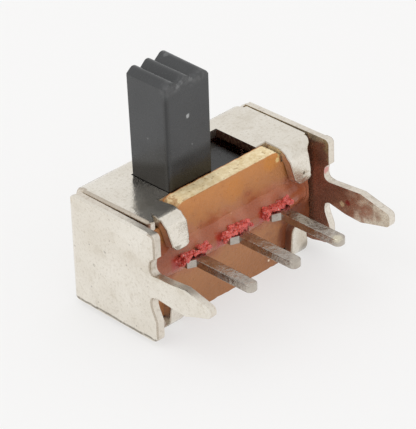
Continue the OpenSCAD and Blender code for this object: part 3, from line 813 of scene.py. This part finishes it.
# %% Thickness, rollover and fine bevels
bpy.ops.mesh.select_all(action="SELECT")
bpy.ops.mesh.remove_doubles(threshold=0.001)
bpy.ops.mesh.normals_make_consistent(inside=False)
mesh = bmesh.from_edit_mesh(folded.data)
web = max(mesh.faces, key=lambda face: face.calc_center_median().y)
if web.normal.y < 0:
    bpy.ops.mesh.flip_normals()
bpy.ops.object.mode_set(mode="OBJECT")
for material in (plated, shaded_inside, punched, bare, rolled):
    folded.data.materials.append(material)
apply_modifier(folded, "SOLIDIFY", thickness=sheet_t, offset=-1.0, use_even_offset=True,
               material_offset=1, material_offset_rim=2)
PLATED, SHADED_INSIDE, PUNCHED, BARE, ROLLED = range(5)


def pick_rim(test):
    """Selects the edges between the outer skin and the punched rim that pass the test."""
    mesh = bmesh.from_edit_mesh(bpy.context.object.data)
    bpy.ops.mesh.select_all(action="DESELECT")
    for edge in mesh.edges:
        middle = (edge.verts[0].co + edge.verts[1].co) / 2
        if {face.material_index for face in edge.link_faces} == {PLATED, PUNCHED} and test(middle):
            edge.select_set(True)
    bmesh.update_edit_mesh(bpy.context.object.data)


edit(folded, "EDGE")
flange_side = lambda c: c.z > 4.2 and 3.5 < abs(c.x) < 3.87 and -1.65 < c.y < 1.34
plate_top = lambda c: c.z > 3.86 and abs(c.x) > fold_x + 0.03 and not flange_side(c) and c.y > -2.1
the_rest = lambda c: not flange_side(c) and not plate_top(c) and not (c.z > 4.2 and abs(c.x) < 2.2)
on_left_lug = lambda c: c.x < -3.7 and (c.y < -2.5 or c.z < 0.3)
for test, width, segments, finish in (
        (lambda c: flange_side(c) and c.x < 0, 0.13, 4, ROLLED),
        (lambda c: flange_side(c) and c.x > 0, 0.06, 3, PLATED),
        (plate_top, 0.1, 4, PLATED), (lambda c: the_rest(c) and on_left_lug(c), 0.05, 2, PLATED),
        (lambda c: the_rest(c) and not on_left_lug(c), 0.05, 2, ROLLED)):
    pick_rim(test)
    bpy.ops.mesh.bevel(offset=width, segments=segments, affect="EDGES", material=finish)
bpy.ops.object.mode_set(mode="OBJECT")
for face in folded.data.polygons:
    c, n = face.center, face.normal
    if c.z > 3.9 and abs(c.x) < 2.2 and -1.0 < c.y < 1.0 and abs(n.z) < 0.5:
        face.material_index = BARE
apply_modifier(folded, "BEVEL", width=0.03, segments=2, limit_method="ANGLE",
               angle_limit=math.radians(50), use_clamp_overlap=True)
only(folded)
bpy.ops.object.shade_smooth_by_angle(angle=math.radians(40))
apply_modifier(folded, "WEIGHTED_NORMAL", keep_sharp=True, weight=60)
done(folded, "housing", "frame", "plated_steel")

# %% [markdown]
# ## The base board
# A punched laminate plate: low ends that sit under the tabs, and a raised middle that fills the
# opening between them. It starts as a block the size of the ends; the middle is cut free with
# two slices and pulled up and down, and its corners are rounded. The upper left corner was torn
# by the punch, so it is rounded further.

# %% Board blank
ledge = 0.47
raised = 2.41
board = block("laminate_board", (board_low.x, board_low.y, frame_low.z + ledge),
              (board_high.x, board_high.y, frame_high.z - ledge))
edit(board)
for x in (-raised, raised):
    slice_at((x, 0, 0), (1, 0, 0))
for side, top in ((1, board_high.z), (-1, board_low.z)):
    pick(lambda c, n: abs(c.x) < raised - 0.1 and n.z * side > 0.9)
    bpy.ops.mesh.extrude_region_move()
    now = frame_high.z - ledge if side > 0 else ledge
    bpy.ops.transform.translate(value=(0, 0, top - now))
pick(lambda c, n: c.x > 3.5, "verts")
bpy.ops.transform.translate(value=(-0.09, 0, 0))
bpy.ops.mesh.select_mode(type="EDGE")
pick(lambda c, d: abs(d.y) > 0.9 and abs(c.x) > 3.5 and c.z > 3, "edges")
bpy.ops.mesh.bevel(offset=0.22, segments=4, affect="EDGES")
for torn, round_by in ((False, 0.3), (True, 0.42)):
    pick(lambda c, d: abs(d.y) > 0.9 and abs(abs(c.x) - raised) < 0.01 and not 0.1 < c.z < 4.2
         and (c.x < 0 and c.z > 4) == torn, "edges")
    bpy.ops.mesh.bevel(offset=round_by, segments=6, affect="EDGES")
bpy.ops.object.mode_set(mode="OBJECT")

# %% Slots for the terminals
for name in aside:
    low, high = terminal_box(name)
    slot_cutter = block("slot_cutter", (low.x - 0.01, board_low.y - 1, low.z - 0.01),
                        (high.x + 0.01, board_high.y + 1, high.z + 0.01))
    cut_away(board, slot_cutter)

# %% [markdown]
# Punching pulls fibres out of the board's edge, so the outline is never quite clean. The board
# is sliced into small squares, and only the points on its punched outline are moved by a noise.

# %% Fibrous outline
edit(board)
steps = 46
for k in range(1, steps):
    slice_at((board_low.x + (board_high.x - board_low.x) * k / steps, 0, 0), (1, 0, 0))
for k in range(1, 5):
    slice_at((0, board_low.y + 0.7 * k / 5, 0), (0, 1, 0))
for k in range(1, 24):
    slice_at((0, 0, 4.3 * k / 24 + 0.003), (0, 0, 1))
bpy.ops.object.mode_set(mode="OBJECT")
outline = board.vertex_groups.new(name="punched_edge")
for vertex in board.data.vertices:
    if vertex.normal.z ** 2 + vertex.normal.x ** 2 > 0.3 and (vertex.co.z > 4.0 or vertex.co.z < 0.4
                                                             or abs(vertex.co.x) > 3.7):
        outline.add([vertex.index], 1.0, "REPLACE")
fibres = bpy.data.textures.new("fibres", "CLOUDS")
fibres.noise_scale = 0.12
apply_modifier(board, "DISPLACE", texture=fibres, texture_coords="LOCAL", strength=0.07,
               mid_level=0.65, vertex_group="punched_edge")
apply_modifier(board, "BEVEL", width=0.02, segments=1, limit_method="ANGLE",
               angle_limit=math.radians(50))
only(board)
bpy.ops.object.shade_smooth_by_angle(angle=math.radians(40))
done(board, "housing", "base_board", "laminate", laminate)

# %% [markdown]
# ## Terminals
# Each terminal is a wide flat blade that narrows to a pin. The blade is a block; two slices
# divide its front face, and the middle strip is pulled out to make the pin, whose tip is rounded
# in plan. The blade's front corners were nibbled off at a slant, the left one less than the
# right. The punched edges get a small round.

# %% Terminals
pin_half = 0.225
shoulder_y = -2.3
for name, short in (("left", 0.12), ("common", 0.08), ("right", -0.04)):
    low, high = terminal_box(name)
    middle = (low.x + high.x) / 2
    blade = block("terminal_strip_" + name, (low.x, shoulder_y, low.z), high)
    edit(blade)
    slice_at((0, -1.5, 0), (0, 1, 0))
    for x in (middle - pin_half, middle + pin_half):
        slice_at((x, 0, 0), (1, 0, 0))
    pick(lambda c, n: n.y < -0.9 and abs(c.x - middle) < pin_half)
    bpy.ops.mesh.extrude_region_move()
    bpy.ops.transform.translate(value=(0, low.y + short - shoulder_y, 0))
    for side, back_off in ((-1, 0.12), (1, 0.3)):
        pick(lambda c, n: side * (c.x - middle) > 0.5 and c.y < -2.2, "verts")
        bpy.ops.transform.translate(value=(-side * 0.04, back_off, 0))
    bpy.ops.mesh.select_mode(type="EDGE")
    pick(lambda c, d: abs(d.z) > 0.9 and c.y < low.y + short + 0.02, "edges")
    bpy.ops.mesh.bevel(offset=0.2, segments=8, affect="EDGES")
    bpy.ops.object.mode_set(mode="OBJECT")
    apply_modifier(blade, "BEVEL", width=0.035, segments=3, limit_method="ANGLE",
                   angle_limit=math.radians(50))
    only(blade)
    bpy.ops.object.shade_smooth_by_angle(angle=math.radians(40))
    apply_modifier(blade, "WEIGHTED_NORMAL", keep_sharp=True, weight=60)
    done(blade, "housing", "terminal_" + name, "tinned_terminal", tin)

# %% [markdown]
# ## The slide
# Knob and carriage are one moulding. The carriage is a block that fills the frame; slices mark
# out the knob's footprint on its top, which is pulled up. More slices across the knob's top
# give the lines of three ribs, and each line is then lifted to its own height. The knob leans a
# little to the left, as it was pushed there.

# %% Carriage and knob
knob_x = (-1.95, -0.05)
knob_y = (-0.87, 0.85)
knob_top = 7.98
shelf = 3.93
slide = block("moulded_slide", (slide_low.x, knob_y[0], slide_low.z), (slide_high.x, slide_high.y, shelf))
edit(slide)
for x in knob_x:
    slice_at((x, 0, 0), (1, 0, 0))
slice_at((0, knob_y[1], 0), (0, 1, 0))
pick(lambda c, n: n.z > 0.9 and knob_x[0] < c.x < knob_x[1] and c.y < knob_y[1])
bpy.ops.mesh.extrude_region_move()
bpy.ops.transform.translate(value=(0, 0, knob_top - shelf))

# %% Ribs across the knob
ribs = ((0.0, 0.12), (0.27, 0.36), (0.56, 0.08), (0.89, 0.37), (1.18, 0.08), (1.55, 0.38), (1.9, 0.06))
for along, rise in ribs[1:-1]:
    pick(lambda c, n: c.z > shelf + 0.1)
    bpy.ops.mesh.bisect(plane_co=(knob_x[0] + along, 0, 0), plane_no=(1, 0, 0))
bpy.ops.mesh.select_mode(type="EDGE")
for along, rise in ribs:
    pick(lambda c, d: abs(d.y) > 0.9 and c.z > knob_top - 0.01
         and abs(c.x - knob_x[0] - along) < 0.01, "edges")
    bpy.ops.transform.translate(value=(0, 0, rise))
pick(lambda c, n: c.z > 7, "verts")
bpy.ops.transform.translate(value=(-0.05, 0, 0))
pick(lambda c, n: c.z > 7 and c.y < 0, "verts")
bpy.ops.transform.translate(value=(0, -0.08, 0))
pick(lambda c, n: c.z > knob_top + 0.3 and c.x > -0.6 and c.y < 0, "verts")
bpy.ops.transform.translate(value=(0.2, 0, -0.16))
pick(lambda c, n: c.z > knob_top and c.x > -0.15 and c.y < 0, "verts")
bpy.ops.transform.translate(value=(0, 0, -0.06))
pick(lambda c, n: c.z > 7 and c.x < -1.9, "verts")
bpy.ops.transform.translate(value=(-0.04, 0, 0))
pick(lambda c, n: c.x < -1.9 and shelf - 0.01 < c.z < 7, "verts")
bpy.ops.transform.translate(value=(-0.02, 0, 0))
pick(lambda c, d: abs(d.y) > 0.9 and c.z > knob_top + 0.2, "edges")
bpy.ops.mesh.bevel(offset=0.17, segments=6, affect="EDGES")
pick(lambda c, d: abs(d.z) > 0.9 and c.z > 5 and c.x < -1.85 and c.y < -0.5, "edges")
bpy.ops.mesh.bevel(offset=0.07, segments=3, affect="EDGES")
bpy.ops.object.mode_set(mode="OBJECT")
groove = block("groove_cutter", (-2.6, -2, 1.85), (0.6, 1.3, 2.85))
groove_wide = block("groove_wide", (-6, -2, 2.0), (6, 0.78, 2.7))
cut_away(slide, groove)
cut_away(slide, groove_wide)
apply_modifier(slide, "BEVEL", width=0.035, segments=2, limit_method="ANGLE",
               angle_limit=math.radians(50))
only(slide)
bpy.ops.object.shade_smooth_by_angle(angle=math.radians(40))
apply_modifier(slide, "WEIGHTED_NORMAL", keep_sharp=True, weight=60)
done(slide, "slide", "slider", "black_plastic", plastic)

# %% [markdown]
# ## Contact clip
# The clip inside the slide keeps its CAD shape and gets its metal.

# %% Clip
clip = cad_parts["contact_clip"]
clip.data.materials.clear()
clip.data.materials.append(bronze)

# %% [markdown]
# ## Sealing varnish
# The terminals are sealed where they leave the board. A thin film ran along the whole row and
# filled the corner between board and blades; it is nearly clear, so it only tints the board.
# On top of it sit dabs of red varnish, dried into rough lumps along each blade's front, down its
# left end and on the film beside it. Lumps are small balls, flattened and run together, melted
# into one skin by a voxel remesh and then roughened by a noise.

# %% Sealing film
film = block("sealing_film", (-3.55, board_low.y - 0.004, 1.78), (3.5, board_low.y + 0.05, 3.08))
edit(film)
pick(lambda c, n: c.y < board_low.y, "verts")
bpy.ops.transform.translate(value=(0, 0.034, 0))
for z, depth in ((2.85, 0.02), (2.62, 0.06), (2.47, 0.1), (2.2, 0.08), (2.0, 0.02)):
    slice_at((0, 0, z), (0, 0, 1))
    pick(lambda c, n: abs(c.z - z) < 0.001 and c.y < board_low.y + 0.04, "verts")
    bpy.ops.transform.translate(value=(0, -depth - 0.034, 0))
for k in range(1, 60):
    slice_at((-3.55 + 7.05 * k / 60, 0, 0), (1, 0, 0))
for reach in (2.6, 2.75, 2.9, 3.05, 3.2, 3.35):
    pick(lambda c, n: abs(c.x) > reach and c.y < board_low.y + 0.02, "verts")
    bpy.ops.transform.translate(value=(0, 0.018, 0))
bpy.ops.mesh.select_all(action="SELECT")
bpy.ops.mesh.subdivide(number_cuts=1)
bpy.ops.object.mode_set(mode="OBJECT")
ripple = bpy.data.textures.new("ripple", "CLOUDS")
ripple.noise_scale = 0.5
apply_modifier(film, "DISPLACE", texture=ripple, texture_coords="LOCAL", direction="Z",
               strength=0.14, mid_level=0.5)
apply_modifier(film, "DISPLACE", texture=ripple, texture_coords="LOCAL", direction="Y",
               strength=0.05, mid_level=0.5)
only(film)
bpy.ops.object.shade_smooth()
film.data.transform(Matrix.Scale(0.001, 4))
film.data.materials.append(sealing)
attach(film, "housing")

# %% Dabs of varnish
import random


def lump(place, size):
    """One small flattened ball of varnish."""
    bpy.ops.mesh.primitive_ico_sphere_add(subdivisions=2, radius=1, location=place, scale=size)
    return bpy.context.object


lumps = {
    "left": [(-0.62, -1.74, 2.36, 0.13), (-0.72, -1.68, 2.28, 0.09), (0.54, -1.98, 2.62, 0.12)],
    "common": [(-0.67, -1.70, 2.18, 0.10), (-0.53, -1.72, 2.28, 0.10), (-0.85, -1.66, 2.2, 0.06),
               (0.42, -2.04, 2.62, 0.14)],
    "right": [(-0.59, -1.66, 2.16, 0.07), (-0.63, -1.66, 2.28, 0.06), (-0.66, -1.72, 2.30, 0.10), (-0.76, -1.70, 2.14, 0.08), (-0.55, -1.74, 2.42, 0.08),
              (0.25, -2.02, 2.64, 0.13), (0.4, -1.98, 2.68, 0.11)],
}
for seed, name in enumerate(("left", "common", "right")):
    low, high = terminal_box(name)
    middle = (low.x + high.x) / 2
    dice = random.Random(11 + seed)
    balls = []
    only(slide)
    for k in range(34):
        spot = (middle - 0.54 + 1.06 * dice.random(), -1.8 - 0.36 * dice.random(),
                high.z + 0.03 + 0.08 * dice.random())
        size = 0.05 + 0.05 * dice.random()
        balls.append(lump(spot, (size * 1.2, size * 1.3, size)))
    for k in range(10):
        spot = (middle - 0.56 + 0.04 * dice.random(), -1.7 - 0.42 * dice.random(),
                2.24 + 0.28 * dice.random())
        balls.append(lump(spot, (0.06, 0.08, 0.07)))
    for x, y, z, size in lumps[name]:
        balls.append(lump((middle + x, y, z), (size * 0.8, size * 0.7, size * 1.1)))
    bpy.ops.object.select_all(action="DESELECT")
    for ball in balls:
        ball.select_set(True)
    bpy.ops.object.join()
    bead = bpy.context.object
    bead.name = bead.data.name = "varnish_bead_" + name
    bpy.ops.object.transform_apply(location=True, rotation=True, scale=True)
    apply_modifier(bead, "REMESH", mode="VOXEL", voxel_size=0.022)
    crumbs = bpy.data.textures.new("crumbs_" + name, "CLOUDS")
    crumbs.noise_scale = 0.07
    apply_modifier(bead, "DISPLACE", texture=crumbs, texture_coords="LOCAL", strength=0.075,
                   mid_level=0.5)
    apply_modifier(bead, "DECIMATE", ratio=0.16)
    only(bead)
    bpy.ops.object.shade_smooth_by_angle(angle=math.radians(16))
    done(bead, "housing", "varnish_" + name, "red_varnish", varnish)

# %% [markdown]
# ## Floor, light and camera
# The switch stands on a plain pale floor in soft light from all round, with one large soft lamp
# high on the left. What the camera and the metal see beyond the floor is white.

# %% Floor
only(board)
bpy.ops.object.select_all(action="DESELECT")
bpy.ops.mesh.primitive_plane_add(size=0.6, location=(0, 0, cad_low.z))
floor = bpy.context.object
floor.name = "floor"
floor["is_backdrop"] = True
pale, tree, shader = new_finish("pale_floor", Roughness=0.9, Emission_Strength=0.57)
shader["Base Color"].default_value = srgb(155, 154, 153)
shader["Emission Color"].default_value = (1, 1, 1, 1)
floor.data.materials.append(pale)

# %% World and lamp
world = bpy.data.worlds.new("studio")
bpy.context.scene.world = world
world.use_nodes = True
tree = world.node_tree
tree.nodes.clear()
seen = put(tree, "ShaderNodeLightPath")
either = put(tree, "ShaderNodeMath", {0: seen.outputs["Is Camera Ray"],
             1: seen.outputs["Is Glossy Ray"]}, operation="MAXIMUM")
strength = put(tree, "ShaderNodeMapRange", {0: either.outputs[0], 3: 1.0, 4: 0.88})
background = put(tree, "ShaderNodeBackground", {"Color": (1, 1, 1, 1),
                 "Strength": strength.outputs[0]})
output = put(tree, "ShaderNodeOutputWorld", {"Surface": background.outputs[0]})

lamp_data = bpy.data.lights.new("softbox", "AREA")
lamp_data.shape = "DISK"
lamp_data.size = 0.12
lamp_data.energy = 0.03
lamp = bpy.data.objects.new("softbox", lamp_data)
bpy.context.scene.collection.objects.link(lamp)
lamp.location = (-0.09, 0.03, 0.16)
lamp.rotation_euler = (Vector((0, 0, 0.003)) - lamp.location).to_track_quat("-Z", "Y").to_euler()

# %% Camera
azimuth, elevation, roll = (math.radians(v) for v in (-43.5934, 31.2784, -2.1043))
back = Vector((math.sin(azimuth) * math.cos(elevation), -math.cos(azimuth) * math.cos(elevation),
               math.sin(elevation)))
level = Vector((math.cos(azimuth), math.sin(azimuth), 0))
upward = back.cross(level)
right = math.cos(roll) * level + math.sin(roll) * upward
top = -math.sin(roll) * level + math.cos(roll) * upward
lens = bpy.data.cameras.new("camera")
lens.lens, lens.sensor_width, lens.sensor_fit = 251.7, 36, "AUTO"
lens.clip_start, lens.clip_end = 0.01, 10
camera = bpy.data.objects.new("camera", lens)
bpy.context.scene.collection.objects.link(camera)
look_at = Vector((-0.3148, -0.90, 2.7607)) / 1000
spot = look_at + back * 0.098398
camera.matrix_world = Matrix((
    (right.x, top.x, back.x, spot.x), (right.y, top.y, back.y, spot.y),
    (right.z, top.z, back.z, spot.z), (0, 0, 0, 1)))
bpy.context.scene.camera = camera
bpy.context.scene.view_settings.view_transform = "Standard"
print("camera stands", round(spot.length * 1000, 1), "mm from the origin")

# %% Sizes, and the last line
low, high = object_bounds()
print("visual box in mm:", [round(1000 * (b - a), 3) for a, b in zip(low, high)])
